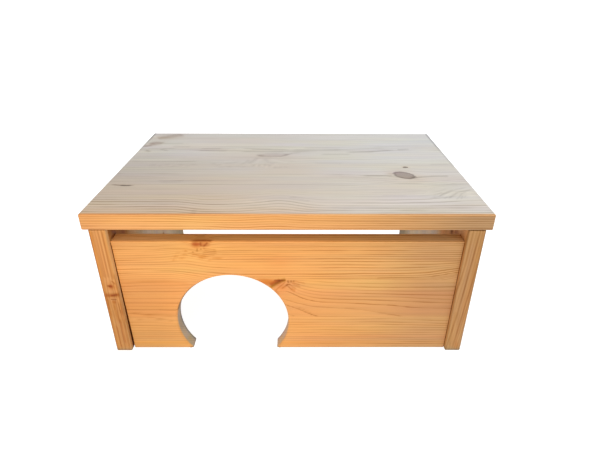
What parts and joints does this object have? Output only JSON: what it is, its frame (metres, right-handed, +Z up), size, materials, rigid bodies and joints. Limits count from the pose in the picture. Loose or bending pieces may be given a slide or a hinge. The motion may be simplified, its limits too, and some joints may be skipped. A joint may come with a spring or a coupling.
{
  "type": "guinea pig hideout",
  "caption": "Low solid-pine shelter for a small pet: flat roof board on side boards, front board with a round doorway at floor level and a ventilation slot, open at the back.",
  "frame": {"origin": "on the floor, at the centre of the bounding box's bottom face, under the middle of the roof board", "axes": "+X to the right seen from the front, along the front board; +Y from the doorway side to the open back; +Z up"},
  "size_m": [0.42, 0.278, 0.181],
  "materials": {
    "pine": "untreated planed and sanded edge-glued pine, satin",
    "beech": "raw turned beech, matte"
  },
  "bodies": {
    "root": {"roof_board": "pine", "left_side_board": "pine", "right_side_board": "pine", "front_board": "pine", "roof_left_dowels": "beech", "roof_right_dowels": "beech", "front_left_dowels": "beech", "front_right_dowels": "beech"}
  },
  "joints": []
}
